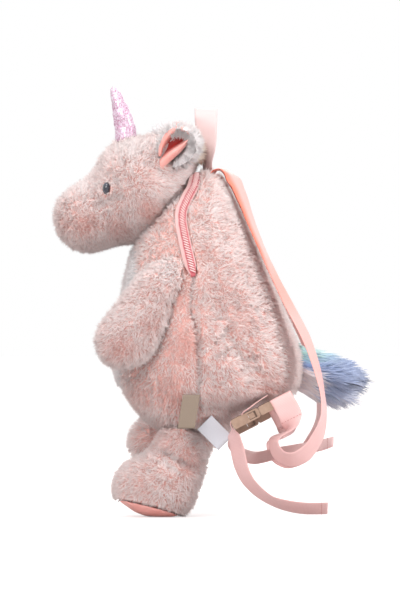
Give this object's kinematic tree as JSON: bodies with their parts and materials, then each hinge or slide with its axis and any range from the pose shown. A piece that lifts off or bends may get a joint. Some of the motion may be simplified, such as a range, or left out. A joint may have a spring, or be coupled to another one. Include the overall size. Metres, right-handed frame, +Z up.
{
  "type": "children's plush animal backpack",
  "caption": "Plush unicorn backpack: hollow zipped torso, stuffed head, horn, limbs and tail, two webbing shoulder straps with side-release buckles, grab loop.",
  "frame": {"origin": "the inside of the grab loop's top, on the middle plane, where the pack hangs", "axes": "+Z up along the hanging pack, -Y the way the animal faces, +X the animal's left"},
  "size_m": [0.2384, 0.3564, 0.4748],
  "materials": {
    "pink_plush": "long soft pile",
    "white_plush": "short soft pile",
    "satin_lining": "satin",
    "foil_cloth": "metallic, crinkled",
    "webbing": "woven, slight sheen",
    "ribbon": "grosgrain",
    "buckle_plastic": "moulded, satin",
    "zip_cloth": "woven tape",
    "zip_coil_plastic": "nylon coil",
    "eye_plastic": "polished",
    "mane_fur": "long pile in pale colours",
    "tail_fur": "long silky pile in pale colours",
    "linen": "woven label",
    "care_cloth": "smooth tape"
  },
  "bodies": {
    "root": {"torso_front": "pink_plush", "belly_patch": "white_plush", "torso_gusset": "pink_plush", "torso_back": "pink_plush", "zip_tape": "zip_cloth", "zip_coil": "zip_coil_plastic", "head": "pink_plush", "eye_left": "eye_plastic", "eye_right": "eye_plastic", "horn": "foil_cloth", "ear_left": "white_plush", "ear_lining_left": "satin_lining", "ear_right": "white_plush", "ear_lining_right": "satin_lining", "mane": "mane_fur", "arm_left": "pink_plush", "arm_right": "pink_plush", "leg_left": "pink_plush", "sole_left": "satin_lining", "leg_right": "pink_plush", "sole_right": "satin_lining", "tail": "tail_fur", "grab_loop": "ribbon", "buckle_socket_left": "buckle_plastic", "buckle_prong_left": "buckle_plastic", "strap_upper_left": "webbing", "strap_lower_left": "webbing", "buckle_socket_right": "buckle_plastic", "buckle_prong_right": "buckle_plastic", "strap_upper_right": "webbing", "strap_lower_right": "webbing", "woven_label": "linen", "care_label": "care_cloth"}
  },
  "joints": []
}
